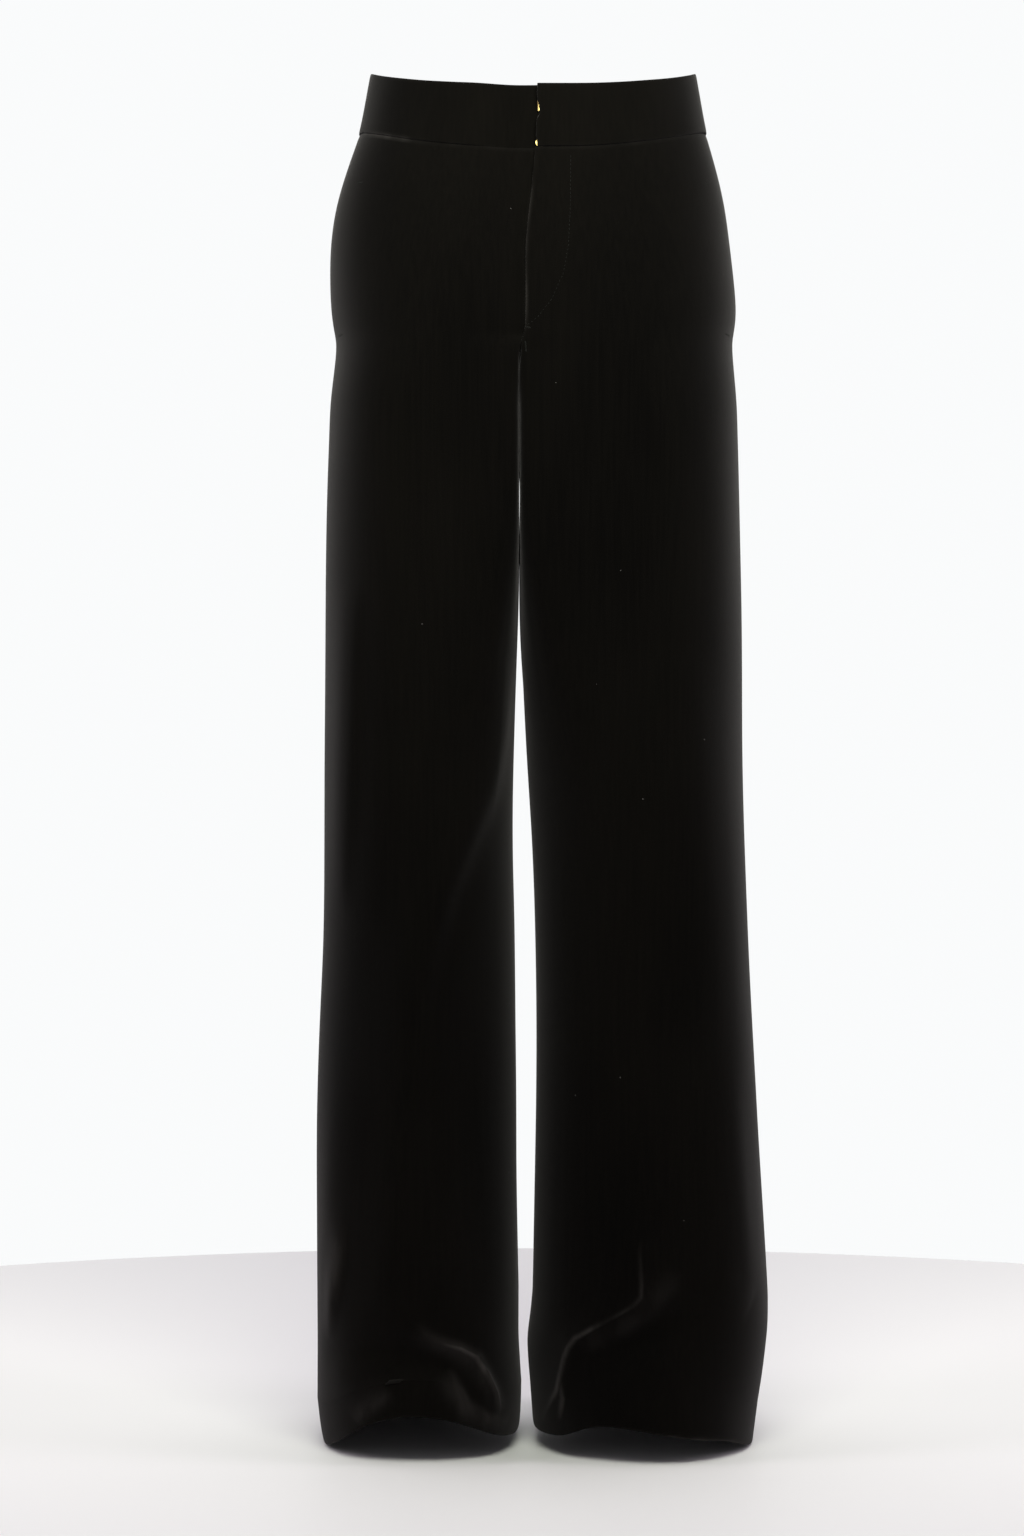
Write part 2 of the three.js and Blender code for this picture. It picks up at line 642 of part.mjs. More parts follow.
// A staple seen from the side: two feet and the bar between them.
function barGeometry() {
  const [low, high] = BAR_LEVELS.bar;
  const [footLow, footHigh] = BAR_LEVELS.foot;
  const { foot, outer, inner } = BAR_HALF;
  const outline = [
    [-foot, footLow], [-inner, footLow], [-inner, low], [inner, low], [inner, footLow], [foot, footLow],
    [foot, footHigh], [outer, footHigh], [outer, high],
    [-outer, high], [-outer, footHigh], [-foot, footHigh],
  ];
  return extruded(drawn(outline), BAR_WIDTH);
}

// The slider clamps the tops of the tapes. Its tab lies flat and its tip shows at the fly's edge.
function sliderGeometry() {
  const [back, front] = SLIDER_ENDS;
  const [low, high] = SLIDER_LEVELS;
  const [slotLow, slotHigh] = TAPE_SLOT;
  const outline = [
    [front, high], [front, low], [back, low], [back, slotLow],
    [TAPE_SLOT_END, slotLow], [TAPE_SLOT_END, slotHigh], [back, slotHigh], [back, high],
  ];
  const block = extruded(drawn(outline), SLIDER_WIDTH);
  block.applyMatrix4(ON_EDGE).translate(-SLIDER_WIDTH / 2, 0, 0);
  const tab = new THREE.Shape();
  tab.moveTo(TAB.left, TAB.foot);
  tab.lineTo(TAB.left, TAB.top);
  tab.absarc(TAB_HEAD.x, TAB_HEAD.z, TAB_HEAD.radius, TAB_HEAD.from, TAB_HEAD.to, false);
  tab.lineTo(TAB.right, TAB_HEAD.foot);
  tab.lineTo(TAB.right, TAB.foot);
  const tabGeometry = extruded(tab, TAB.wall);
  tabGeometry.applyMatrix4(FLAT_ON_CLOTH).translate(0, TAB.level, 0);
  return geometryOf(solid(block).add(solid(tabGeometry)));
}

// ---- Materials ----
const velvet = () => new THREE.MeshStandardMaterial({ color: 0x14110f, roughness: 0.95, metalness: 0 });
const tape = () => new THREE.MeshStandardMaterial({ color: 0x0c0c0c, roughness: 0.9, metalness: 0 });
const pocketing = () => new THREE.MeshStandardMaterial({ color: 0x101012, roughness: 0.9, metalness: 0 });
const brass = () => new THREE.MeshStandardMaterial({ color: 0xb08d4a, roughness: 0.3, metalness: 1 });

function mesh(name, geometry, material) {
  const made = new THREE.Mesh(geometry, material);
  made.name = name;
  return made;
}

// ---- The trousers ----
const pants = new THREE.Group();
pants.name = "palazzo_pants";

pants.add(mesh("front_right", panel("right", FRONT), velvet()));
pants.add(mesh("front_left", panel("left", FRONT), velvet()));
pants.add(mesh("back_right", panel("right", BACK), velvet()));
pants.add(mesh("back_left", panel("left", BACK), velvet()));

const bothSides = [["right", false], ["left", true]];
pants.add(mesh("waistband_front_right", bandPiece(bothSides, 14, FRONT, "under"), velvet()));
pants.add(mesh("waistband_front_left", bandPiece([["left", false]], 12, FRONT, "over"), velvet()));
pants.add(mesh("waistband_back", bandPiece(bothSides, 24, BACK, "round"), velvet()));

pants.add(mesh("fly_facing", facing(), velvet()));
const zipHeights = steps(ZIP_TOP, ZIP_FOOT, 8);
pants.add(mesh("zip_tape_right", strip(zipHeights, RIGHT_TAPE, 2, TAPE_LEVELS, false), tape()));
pants.add(mesh("zip_tape_left", strip(zipHeights, LEFT_TAPE, 2, TAPE_LEVELS, false), tape()));

const sliderFrame = frontFrame(...SLIDER_PLACE);
sliderFrame.add(mesh("zip_slider", sliderGeometry(), brass()));
pants.add(sliderFrame);

const hookFrame = frontFrame(...HOOK_PLACE);
const hook = mesh("waist_hook", hookGeometry(), brass());
hook.rotation.x = Math.PI;
hook.position.z = HOOK_HEIGHT / 2;
hookFrame.add(hook);
const bar = mesh("waist_bar", barGeometry(), brass());
bar.quaternion.setFromRotationMatrix(ON_EDGE);
bar.position.x = BAR_PLACE;
hookFrame.add(bar);
pants.add(hookFrame);

pants.add(mesh("pocket_bag_right", pocketBag("right"), pocketing()));
pants.add(mesh("pocket_bag_left", pocketBag("left"), pocketing()));

export default pants;
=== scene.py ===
# %% [markdown]
# # Palazzo pants in black velvet
# High-rise trousers with wide, straight legs, in the hollow shape they take when worn. A maker
# cuts them as four leg panels and a shaped waistband, and closes them with a zip fly, a hook and
# a bar. The frame already holds every piece at its true size and place, in metres, with +Z up
# and the front towards -Y. This lesson gives each piece the surface, edges and finish of cloth.

# %% Load the frame
import math
import bmesh
import bpy
import numpy as np
from mathutils import Matrix, Vector, kdtree, noise
from mathutils.bvhtree import BVHTree


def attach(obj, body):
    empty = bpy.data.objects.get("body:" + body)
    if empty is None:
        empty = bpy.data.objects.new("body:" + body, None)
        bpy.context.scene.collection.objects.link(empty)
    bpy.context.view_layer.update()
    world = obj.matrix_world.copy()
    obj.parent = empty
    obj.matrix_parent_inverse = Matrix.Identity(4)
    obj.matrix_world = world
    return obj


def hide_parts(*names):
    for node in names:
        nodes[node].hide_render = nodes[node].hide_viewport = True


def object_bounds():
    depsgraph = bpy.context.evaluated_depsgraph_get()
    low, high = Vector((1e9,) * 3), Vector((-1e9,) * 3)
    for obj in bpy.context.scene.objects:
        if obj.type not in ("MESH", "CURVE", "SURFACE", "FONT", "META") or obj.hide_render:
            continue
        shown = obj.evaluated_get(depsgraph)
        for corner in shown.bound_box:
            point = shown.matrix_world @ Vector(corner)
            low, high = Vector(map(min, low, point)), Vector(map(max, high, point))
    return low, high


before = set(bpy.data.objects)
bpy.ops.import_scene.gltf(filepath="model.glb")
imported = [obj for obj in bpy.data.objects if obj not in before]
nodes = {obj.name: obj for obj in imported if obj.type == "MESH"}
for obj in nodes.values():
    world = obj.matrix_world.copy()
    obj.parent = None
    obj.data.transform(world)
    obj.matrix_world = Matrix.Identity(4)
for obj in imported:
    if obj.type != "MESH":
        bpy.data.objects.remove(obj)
frame_low, frame_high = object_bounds()
MM = 0.001
print("frame", [round(v, 3) for v in frame_low], [round(v, 3) for v in frame_high])

# %% [markdown]
# ## The camera
# A long lens well back from the garment keeps its sides straight. The camera is level, at the
# height of the thighs, so the waist is seen a little from below and the hems from above.

# %% Camera
FOCAL_LENGTH = 74.7  # millimetres
CAMERA_PLACE = (-0.0172, -2.55, -0.5302)

lens = bpy.data.cameras.new("camera")
lens.lens = FOCAL_LENGTH
lens.clip_end = 60
camera = bpy.data.objects.new("camera", lens)
camera.location = CAMERA_PLACE
camera.rotation_euler = (math.pi / 2, 0, 0)
bpy.context.scene.collection.objects.link(camera)
bpy.context.scene.camera = camera
bpy.context.scene.view_settings.view_transform = "Standard"
print("camera at", tuple(camera.location))

# %% [markdown]
# ## Node helpers
# A material here is a Principled shader with a few textures before it. Small helpers keep the
# cells short: they make the material, add a node with its settings, and mix two colours. Values
# that are the same all over the cloth are set on the shader's own sockets.

# %% Helpers for materials
def new_material(name, **sockets):
    material = bpy.data.materials.new(name)
    material.use_nodes = True
    shader = material.node_tree.nodes["Principled BSDF"]
    for socket, value in sockets.items():
        shader.inputs[socket.replace("_", " ")].default_value = value
    return material, shader


def add_node(material, kind, settings=None, **links):
    made = material.node_tree.nodes.new(kind)
    for name, value in (settings or {}).items():
        if name in made.inputs:
            made.inputs[name].default_value = value
        else:
            setattr(made, name, value)
    for name, source in links.items():
        material.node_tree.links.new(source, made.inputs[name.replace("_", " ")])
    return made


def link(material, source, target):
    material.node_tree.links.new(source, target)


def on_object(material, scale):
    """Object coordinates, stretched. The scale is in repeats a metre along each axis."""
    place = add_node(material, "ShaderNodeTexCoord")
    stretch = add_node(material, "ShaderNodeMapping", Vector=place.outputs["Object"])
    stretch.inputs["Scale"].default_value = scale
    return stretch.outputs["Vector"]


def mix_colours(material, share, *colours):
    """The first colour where share is 0, the second where it is 1. A colour may be a socket."""
    mixed = add_node(material, "ShaderNodeMix", {"data_type": "RGBA"})
    link(material, share, mixed.inputs["Factor"])
    sockets = [socket for socket in mixed.inputs if socket.type == "RGBA"]
    for socket, colour in zip(sockets, colours):
        if isinstance(colour, tuple):
            socket.default_value = (*colour, 1)
        else:
            link(material, colour, socket)
    return mixed.outputs[2]


def shade_between(material, value, start, end, dark, light):
    """dark where value is at start, light where it is at end, and a blend between."""
    share = add_node(material, "ShaderNodeMapRange", {"From Min": start, "From Max": end}, Value=value)
    return mix_colours(material, share.outputs["Result"], dark, light)


print("material helpers ready")

# %% [markdown]
# ## Velvet
# Velvet is a short dense pile. Seen straight on, light sinks between the fibres and it looks
# nearly black; seen along its surface, the fibre tips light up. The shader's sheen does that,
# kept weak, because black dye drinks most of it. The nap is never quite even, so a broad soft
# noise varies the black, long thin streaks follow the way the pile was brushed, and a fine
# grain in the bump breaks the surface up into fibre tips. Where the cloth is folded hard, at
# the fly's edge, the seams and the crests of sharp creases, a paler colour is painted in as a
# sheen highlight, standing in for the light those edges catch; each sheet carries that painted
# highlight as an attribute. A few specks of lint catch on it.

# %% Velvet material
PILE_DARK = (0.0012, 0.0010, 0.0009)
PILE_LIGHT = (0.0034, 0.0028, 0.0023)
# the paler colour painted in as a sheen highlight on hard folds, seams and crease crests
PAINTED_SHEEN_COLOUR = (0.034, 0.030, 0.029)
LINT = (0.055, 0.05, 0.05)
LINT_CELLS = 60  # a metre
LINT_RADIUS = 0.032  # in cells
LINT_RARITY = 0.8  # share of the cells that hold none
STREAK_SHARE = 0.35


def velvet_material():
    made, shader = new_material(
        "black_velvet", Roughness=0.92, Specular_IOR_Level=0.02,
        Sheen_Weight=0.086, Sheen_Roughness=0.4, Sheen_Tint=(1.0, 0.92, 0.97, 1),
    )
    nap = add_node(made, "ShaderNodeTexNoise", {"Scale": 1.0, "Detail": 3.0},
                   Vector=on_object(made, (7, 7, 3)))
    streaks = add_node(made, "ShaderNodeTexNoise", {"Scale": 1.0, "Detail": 2.0},
                       Vector=on_object(made, (420, 420, 9)))
    shade = add_node(made, "ShaderNodeMath", {"operation": "MULTIPLY_ADD"})
    link(made, streaks.outputs["Fac"], shade.inputs[0])
    shade.inputs[1].default_value = STREAK_SHARE
    link(made, nap.outputs["Fac"], shade.inputs[2])
    pile = shade_between(made, shade.outputs["Value"], 0.4, 0.95, PILE_DARK, PILE_LIGHT)
    link(made, lint_over(made, paint_sheen_over(made, pile)), shader.inputs["Base Color"])
    grain = add_node(made, "ShaderNodeTexNoise", {"Scale": 1.0, "Detail": 2.0},
                     Vector=on_object(made, (2100, 2100, 1300)))
    bump = add_node(made, "ShaderNodeBump", {"Strength": 0.35, "Distance": 0.0003},
                    Height=grain.outputs["Fac"])
    link(made, bump.outputs["Normal"], shader.inputs["Normal"])
    return made


def paint_sheen_over(material, cloth):
    """A painted sheen highlight: a paler colour where the sheet's attribute asks for it, in uneven
    patches.
    """
    painted_sheen = add_node(material, "ShaderNodeAttribute", {"attribute_name": "painted_sheen"})
    patches = add_node(material, "ShaderNodeTexNoise", {"Scale": 1.0, "Detail": 3.0},
                       Vector=on_object(material, (60, 60, 24)))
    uneven = add_node(material, "ShaderNodeMapRange",
                      {"From Min": 0.38, "From Max": 0.62, "To Min": 0.35},
                      Value=patches.outputs["Fac"])
    share = add_node(material, "ShaderNodeMath", {"operation": "MULTIPLY"})
    link(material, painted_sheen.outputs["Fac"], share.inputs[0])
    link(material, uneven.outputs["Result"], share.inputs[1])
    return mix_colours(material, share.outputs["Value"], cloth, PAINTED_SHEEN_COLOUR)


def lint_over(material, cloth):
    """Rare pale specks, each the middle of a cell of a Voronoi pattern that was picked."""
    cells = add_node(material, "ShaderNodeTexVoronoi", {"Scale": 1.0},
                     Vector=on_object(material, (LINT_CELLS, LINT_CELLS, LINT_CELLS)))
    close = add_node(material, "ShaderNodeMath", {"operation": "LESS_THAN"},
                     Value=cells.outputs["Distance"])
    close.inputs[1].default_value = LINT_RADIUS
    parts = add_node(material, "ShaderNodeSeparateColor", Color=cells.outputs["Color"])
    picked = add_node(material, "ShaderNodeMath", {"operation": "GREATER_THAN"},
                      Value=parts.outputs["Red"])
    picked.inputs[1].default_value = LINT_RARITY
    both = add_node(material, "ShaderNodeMath", {"operation": "MULTIPLY"})
    link(material, close.outputs["Value"], both.inputs[0])
    link(material, picked.outputs["Value"], both.inputs[1])
    return mix_colours(material, both.outputs["Value"], cloth, LINT)


velvet = velvet_material()
print("made", velvet.name)

# %% [markdown]
# ## Backing, pocketing and tape
# The wrong side of velvet is a plain woven ground with no pile: matt, a little browner, with a
# fine weave. Pocketing is a smooth close cotton. Zip tape has a herringbone weave. All three
# are woven, so one function makes them, from two crossed waves that differ in spacing.

# %% Woven materials
def woven_material(name, dark, light, threads, depth):
    made, shader = new_material(name, Roughness=0.9, Specular_IOR_Level=0.08)
    heights = []
    for direction in ("X", "Z"):
        wave = add_node(made, "ShaderNodeTexWave",
                        {"bands_direction": direction, "Scale": 1.0, "Distortion": 1.0},
                        Vector=on_object(made, (threads, threads, threads)))
        heights.append(wave.outputs["Fac"])
    weave = add_node(made, "ShaderNodeMath", {"operation": "MULTIPLY"})
    link(made, heights[0], weave.inputs[0])
    link(made, heights[1], weave.inputs[1])
    colour = shade_between(made, weave.outputs["Value"], 0.1, 0.8, dark, light)
    link(made, colour, shader.inputs["Base Color"])
    bump = add_node(made, "ShaderNodeBump", {"Strength": 0.4, "Distance": depth},
                    Height=weave.outputs["Value"])
    link(made, bump.outputs["Normal"], shader.inputs["Normal"])
    return made


backing = woven_material("velvet_backing", (0.004, 0.0035, 0.003), (0.012, 0.010, 0.009), 420, 0.0002)
pocketing = woven_material("black_pocketing", (0.005, 0.005, 0.006), (0.011, 0.011, 0.013), 700, 0.0001)
zip_tape = woven_material("black_zip_tape", (0.003, 0.003, 0.003), (0.010, 0.010, 0.010), 500, 0.0002)
print("made", backing.name, pocketing.name, zip_tape.name)

# %% [markdown]
# ## Metal and thread
# The hook, bar and slider are gold-coloured brass with a satin face: fine scratches run in the
# roughness, and tarnish darkens it in soft patches. Thread is twisted and slightly waxed, so it
# shines a little more than the pile that it sinks into.

# %% Brass and thread
BRASS_TARNISHED, BRASS_CLEAN = (0.2, 0.14, 0.05), (0.5, 0.37, 0.15)
THREAD_DARK, THREAD_LIGHT = (0.003, 0.003, 0.003), (0.012, 0.012, 0.011)


def brass_material():
    made, shader = new_material("gold_brass", Metallic=1.0)
    patches = add_node(made, "ShaderNodeTexNoise", {"Scale": 1.0, "Detail": 4.0},
                       Vector=on_object(made, (260, 260, 260)))
    colour = shade_between(made, patches.outputs["Fac"], 0.35, 0.6, BRASS_TARNISHED, BRASS_CLEAN)
    link(made, colour, shader.inputs["Base Color"])
    scratches = add_node(made, "ShaderNodeTexNoise", {"Scale": 1.0, "Detail": 2.0},
                         Vector=on_object(made, (300, 300, 5000)))
    gloss = add_node(made, "ShaderNodeMapRange", {"To Min": 0.26, "To Max": 0.48},
                     Value=scratches.outputs["Fac"])
    link(made, gloss.outputs["Result"], shader.inputs["Roughness"])
    return made


def thread_material():
    made, shader = new_material("thread", Roughness=0.7, Specular_IOR_Level=0.1)
    twist = add_node(made, "ShaderNodeTexWave", {"Scale": 1.0, "bands_direction": "DIAGONAL"},
                     Vector=on_object(made, (2200, 2200, 2200)))
    colour = shade_between(made, twist.outputs["Fac"], 0.2, 0.8, THREAD_DARK, THREAD_LIGHT)
    link(made, colour, shader.inputs["Base Color"])
    return made


brass = brass_material()
thread = thread_material()
print("made", brass.name, thread.name)

# %% [markdown]
# ## From a solid to one skin of cloth
# Each cloth node in the frame is a thin closed wall. To shape it as cloth, only its outer skin
# is wanted: smoothing a wall would round both faces apart. A ray sent back through a face meets
# the other face squarely within the wall's thickness, except on the narrow rim. Of the faces
# that pass, the outer ones look away from the middle of the leg.

# %% The outer skin of a cloth node
WALL_LEAST = 0.5 * MM
WALL_REACH = 4.5 * MM


def meets_far_side(tree, face):
    """Whether the other face of the wall lies squarely behind this one."""
    middle = face.calc_center_median()
    for corner in face.verts:
        start = middle.lerp(corner.co, 0.25) - face.normal * 0.01 * MM
        place, normal, _, far = tree.ray_cast(start, -face.normal, WALL_REACH)
        if place is not None and far > WALL_LEAST and normal.dot(face.normal) < -0.5:
            return True
    return False


def outer_skin(node, axis):
    """The node's outer skin in four-sided cells. axis is a point (x, y) that it goes round."""
    bm = bmesh.new()
    bm.from_mesh(nodes[node].data)
    bmesh.ops.remove_doubles(bm, verts=bm.verts, dist=0.02 * MM)
    tree = BVHTree.FromBMesh(bm)
    unwanted = []
    for face in bm.faces:
        away = face.calc_center_median() - Vector((*axis, 0))
        outwards = away.x * face.normal.x + away.y * face.normal.y > 0
        if not outwards or not meets_far_side(tree, face):
            unwanted.append(face)
    bmesh.ops.delete(bm, geom=unwanted, context="FACES")
    loose = [v for v in bm.verts if not v.link_faces]
    bmesh.ops.delete(bm, geom=loose, context="VERTS")
    bmesh.ops.join_triangles(
        bm, faces=bm.faces, angle_face_threshold=math.radians(75),
        angle_shape_threshold=math.radians(130), topology_influence=1.0,
    )
    return bm


LEG_AXES = {"right": (-0.085, 0.005), "left": (0.085, 0.005)}
trial = outer_skin("front_right", LEG_AXES["right"])
four_sided = sum(len(face.verts) == 4 for face in trial.faces)
print("front_right skin:", len(trial.faces), "cells,", four_sided, "with four sides")
trial.free()

# %% [markdown]
# ## Smooth cloth
# The skin's cells are a few centimetres across. A Subdivision Surface turns them into one smooth
# sheet; three levels make each cell about 3 mm, fine enough for creases. It is applied at once,
# because the creases are then pressed into the finished sheet. Corners are kept, so that
# neighbouring panels still meet along their seams. Smoothing pulls a sheet inside its cage, so
# the cage is first pushed out until the smooth sheet passes through the frame's own points.

# %% Helpers for objects and smooth sheets
SHEET_LEVELS = 3
CAGE_PASSES = 3  # how often the cage is pushed out


def new_object(name, bm_or_mesh, materials):
    if isinstance(bm_or_mesh, bmesh.types.BMesh):
        mesh = bpy.data.meshes.new(name)
        bm_or_mesh.to_mesh(mesh)
        bm_or_mesh.free()
    else:
        mesh = bm_or_mesh
    mesh.name = name
    made = bpy.data.objects.new(name, mesh)
    bpy.context.scene.collection.objects.link(made)
    mesh.materials.clear()
    for material in materials:
        mesh.materials.append(material)
    mesh.shade_smooth()
    return made


def smooth_sheet(name, bm):
    """The sheet after Catmull-Clark subdivision, as a mesh."""
    cage = new_object(name + "_cage", bm, [])
    modifier = cage.modifiers.new("smooth", "SUBSURF")
    modifier.boundary_smooth = "PRESERVE_CORNERS"
    modifier.levels = modifier.render_levels = 1
    wanted, _ = points_and_normals(cage.data)
    pushed = wanted.copy()
    for _ in range(CAGE_PASSES):
        reached, _ = points_and_normals(evaluated(cage))
        pushed += wanted - reached[: len(wanted)]
        set_points(cage.data, pushed)
    modifier.levels = modifier.render_levels = SHEET_LEVELS
    mesh = evaluated(cage)
    bpy.data.objects.remove(cage)
    return mesh


def evaluated(shown):
    """A copy of the object's mesh with its modifiers applied."""
    view = bpy.context.evaluated_depsgraph_get()
    view.update()
    return bpy.data.meshes.new_from_object(shown.evaluated_get(view))


def points_and_normals(mesh):
    points = np.zeros(len(mesh.vertices) * 3)
    mesh.vertices.foreach_get("co", points)
    normals = np.zeros(len(mesh.vertices) * 3)
    mesh.vertex_normals.foreach_get("vector", normals)
    return points.reshape(-1, 3), normals.reshape(-1, 3)


def set_points(mesh, points):
    mesh.vertices.foreach_set("co", points.ravel())
    mesh.update()


def soft_step(start, end, value):
    share = np.clip((value - start) / (end - start), 0, 1)
    return share * share * (3 - 2 * share)


print("sheet helpers ready")

# %% [markdown]
# ## Creases
# Hung cloth folds along lines: a soft fold runs down from the thigh, and where a hem rests on
# the instep the spare length breaks into short sharp creases. Each is drawn as a line on the
# front or back of a leg, in millimetres (sideways, up). A fold is seldom even: one side falls
# away steeply and catches the light, the other slopes off. So each has two widths, for the side
# to the left of the line as it is drawn and for the side to its right. A trough has a negative
# height. Simulated cloth would place folds where it liked; listed here, they lie where this
# garment has them.

# %% Crease lines
FRONT, BACK = -1, 1
# Each crease: its line, its two widths, its height, and how strong a sheen highlight is painted on its
# crest.
CREASES = {
    ("right", FRONT): [
        # the long soft fold from the inner thigh down to the shin
        ([(-19, -450), (-27, -500), (-38, -545), (-58, -593), (-71, -625), (-82, -660),
          (-91, -710), (-101, -790)],
         11, 26, 7.0, 0),
        # it fades, then turns in over the instep and sharpens
        ([(-103, -800), (-107, -876), (-111, -930), (-104, -944), (-91, -959), (-74, -970),
          (-58, -976), (-44, -984)],
         8, 20, 3.6, 0),
        ([(-92, -958), (-74, -969), (-58, -975), (-45, -984), (-38, -998), (-31, -1014), (-26, -1030)],
         4, 9, 3.0, 0.3),
        ([(-74, -969), (-58, -975), (-47, -983), (-38, -998), (-31, -1014), (-27, -1030)],
         1.4, 2.6, 1.3, 1.0),
        # the shadow under it
        ([(-150, -998), (-126, -997), (-112, -996), (-100, -989), (-86, -987), (-70, -989),
          (-60, -1002), (-48, -1018)],
         5, 9, -1.0, 0),
        # the flat plane over the instep between two ridges, their crests painted paler as a highlight
        ([(-110, -1008), (-117, -1014), (-125, -1022), (-138, -1034)], 5, 8, 1.4, 0.35),
        ([(-67, -992), (-60, -1006), (-52, -1020), (-40, -1030), (-20, -1038)], 4, 8, 2.4, 0.45),
        # along the outer edge
        ([(-148, -880), (-151, -915), (-156, -945), (-162, -975)], 4, 9, 3.0, 0.4),
        ([(-139, -390), (-140, -478), (-144, -555), (-150, -640)], 7, 20, 3.4, 0),
    ],
    ("left", FRONT): [
        # the crisp crease that breaks towards the inner ankle
        ([(80, -890), (82, -925), (79, -941), (68, -948), (55, -956), (41, -967), (31, -975),
          (25, -992), (20, -1015), (8, -1041)],
         6, 11, 2.0, 0),
        ([(81, -897), (81.5, -912), (82.5, -926), (82, -936), (76, -943), (66, -949), (58, -954),
          (47, -961), (37, -968)],
         1.1, 2.0, 0.8, 0.35),
        ([(58, -954), (44, -963), (33, -971), (28, -979), (25, -987), (22, -1000), (19, -1013),
          (12, -1028), (6, -1044)],
         1.2, 2.2, 1.0, 0.9),
        ([(22, -1004), (23, -1018), (20, -1036)], 1.2, 2.0, 0.8, 0.7),
        # a softer one beside it, and the shadow below
        ([(112, -920), (99, -934), (84, -950), (70, -960), (54, -968), (38, -978)], 5, 10, 1.9, 0.15),
        ([(48, -984), (72, -976), (98, -960), (120, -944)], 9, 12, -2.6, 0),
        ([(140, -920), (152, -936), (170, -944)], 8, 16, 2.0, 0),
        # the broad outer fold
        ([(112, -440), (121, -520), (126, -620), (134, -740)], 24, 44, 5.0, 0),
        ([(150, -760), (156, -860), (164, -940)], 12, 30, 2.6, 0),
    ],
    ("right", BACK): [
        ([(-30, -296), (-60, -316), (-104, -322), (-146, -306)], 8, 18, 3.0, 0),
        ([(-24, -272), (-50, -284), (-84, -290)], 6, 12, 2.2, 0),
        ([(-64, -520), (-60, -760), (-68, -880)], 26, 9, 4.4, 0),
        ([(-66, -880), (-60, -950), (-42, -1004), (-26, -1040)], 14, 6, 3.4, 0.15),
        ([(-64, -925), (-56, -962), (-42, -1003), (-30, -1034)], 3.6, 1.9, 1.3, 0.7),
        ([(-150, -950), (-128, -982), (-92, -1000)], 9, 12, -3.0, 0),
        ([(-146, -940), (-122, -966), (-96, -978)], 5, 9, 2.4, 0.2),
    ],
    ("left", BACK): [
        ([(10, -294), (44, -318), (92, -324), (140, -304)], 18, 8, 3.0, 0),
        ([(4, -272), (34, -284), (70, -291)], 12, 6, 2.2, 0),
        ([(76, -500), (84, -740), (76, -870)], 9, 26, 4.4, 0),
        ([(74, -880), (62, -950), (46, -1002), (36, -1042)], 6, 14, 3.4, 0.15),
        ([(70, -920), (60, -958), (46, -1001), (38, -1034)], 1.9, 3.6, 1.3, 0.7),
        ([(158, -940), (130, -980), (96, -998)], 12, 9, -3.0, 0),
        ([(150, -930), (124, -962), (100, -974)], 9, 5, 2.4, 0.2),
    ],
}
print(sum(len(lines) for lines in CREASES.values()), "creases")

# %% [markdown]
# A crease is pressed into the sheet by moving each point along its normal. How far depends on
# its distance to the line, falling off as a bell curve, and the crease runs out to nothing at
# both ends. Points on the other side of the leg are left alone: the share fades as the cloth
# turns away from the front or back. Where a crease is narrower than the sheet's cells, the
# cells along it are cut smaller first.

# %% Press the creases in
SHARP = 3.0  # millimetres: a crease with a side narrower than this needs smaller cells
CREASE_CUTS = 2
END_FALL = 0.6  # below 1, a crease keeps its height until close to its ends


def crease_share(points, line, left_width, right_width):
    """1 on the crease's crest, falling off to both sides and at both ends."""
    flat = points[:, [0, 2]] / MM
    corners = np.array(line, dtype=float)
    spans = np.linalg.norm(np.diff(corners, axis=0), axis=1)
    whole, run = spans.sum(), 0.0
    nearest = np.full(len(flat), np.inf)
    place = np.zeros(len(flat))
    to_left = np.zeros(len(flat), dtype=bool)
    for start, end, span in zip(corners[:-1], corners[1:], spans):
        along = np.clip(((flat - start) @ (end - start)) / span**2, 0, 1)
        away = np.linalg.norm(flat - start - along[:, None] * (end - start), axis=1)
        closer = away < nearest
        turn = (end - start)[0] * (flat - start)[:, 1] - (end - start)[1] * (flat - start)[:, 0]
        to_left = np.where(closer, turn > 0, to_left)
        nearest = np.where(closer, away, nearest)
        place = np.where(closer, (run + along * span) / whole, place)
        run += span
    ends = np.clip(np.sin(np.pi * place), 0, 1) ** END_FALL
    width = np.where(to_left, left_width, right_width)
    return np.exp(-((nearest / width) ** 2)) * ends


def facing_share(normals, side):
    return soft_step(0.15, 0.6, normals[:, 1] * side)


def refine_creases(mesh, leg, side):
    """Cuts the cells along the sharp creases in three each way."""
    points, normals = points_and_normals(mesh)
    near = np.zeros(len(points), dtype=bool)
    for line, left_width, right_width, _, _ in CREASES[leg, side]:
        if min(left_width, right_width) < SHARP:
            near |= crease_share(points, line, 3 * left_width, 3 * right_width) > 0.2
    near &= facing_share(normals, side) > 0
    bm = bmesh.new()
    bm.from_mesh(mesh)
    edges = [e for e in bm.edges if all(near[v.index] for v in e.verts)]
    bmesh.ops.subdivide_edges(bm, edges=edges, cuts=CREASE_CUTS, use_grid_fill=True, smooth=0.5)
    bm.to_mesh(mesh)
    bm.free()


def press_creases(mesh, leg, side):
    """Moves the sheet's points, and returns how much painted sheen highlight each one gets."""
    points, normals = points_and_normals(mesh)
    by = np.zeros(len(points))
    painted_sheen = np.zeros(len(points))
    for line, left_width, right_width, height, crest_sheen in CREASES[leg, side]:
        share = crease_share(points, line, left_width, right_width)
        by += share * height * MM
        painted_sheen = np.maximum(painted_sheen, share * crest_sheen)
    turned = facing_share(normals, side)
    set_points(mesh, points + normals * (by * turned)[:, None])
    return painted_sheen * turned


print("creases ready to press")
